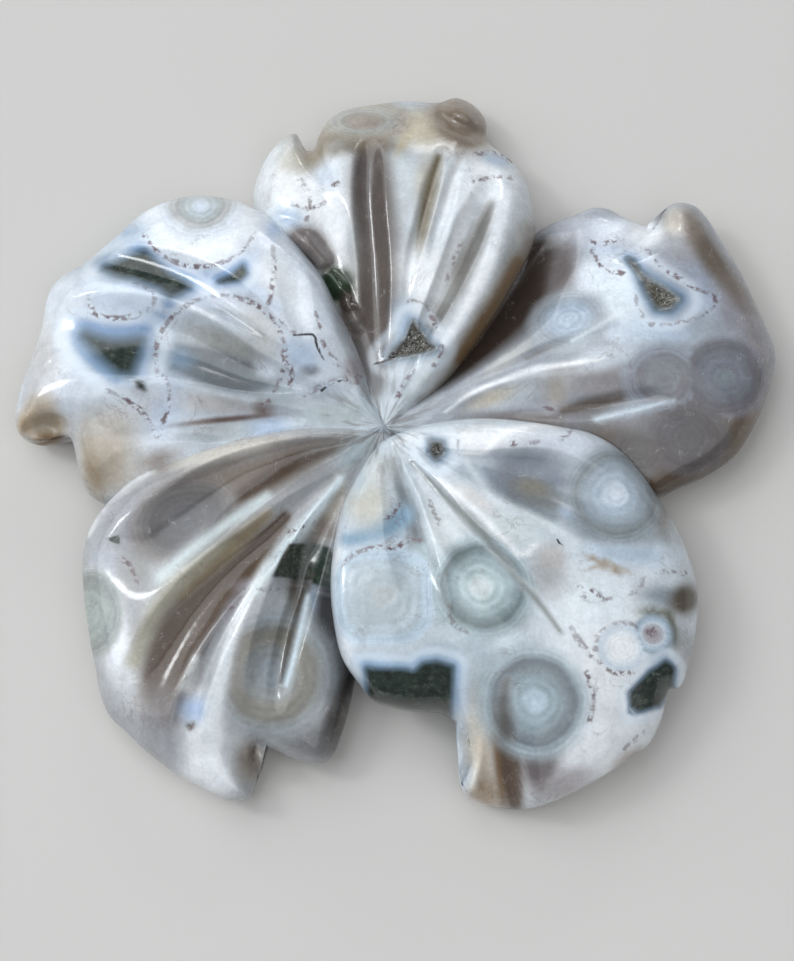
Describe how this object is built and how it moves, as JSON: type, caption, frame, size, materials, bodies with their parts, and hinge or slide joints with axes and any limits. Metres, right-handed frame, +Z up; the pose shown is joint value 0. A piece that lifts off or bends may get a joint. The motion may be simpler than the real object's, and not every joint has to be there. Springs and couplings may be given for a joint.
{
  "type": "carved stone flower",
  "caption": "Polished stone carving of an open flower: broad overlapping petals with fluted faces and curled rims, on a flat ground back that rests on a table.",
  "frame": {"origin": "on the flat ground back, straight under the point where the petals meet", "axes": "+Z up out of the flower's face, which is the thin direction; +Y away from the viewer of the picture, towards the petal that has the small ball on its rim; +X to the viewer's right"},
  "size_m": [0.0826, 0.0797, 0.0137],
  "materials": {
    "stone": "polished"
  },
  "bodies": {
    "root": {"flower_carving": "stone"}
  },
  "joints": []
}
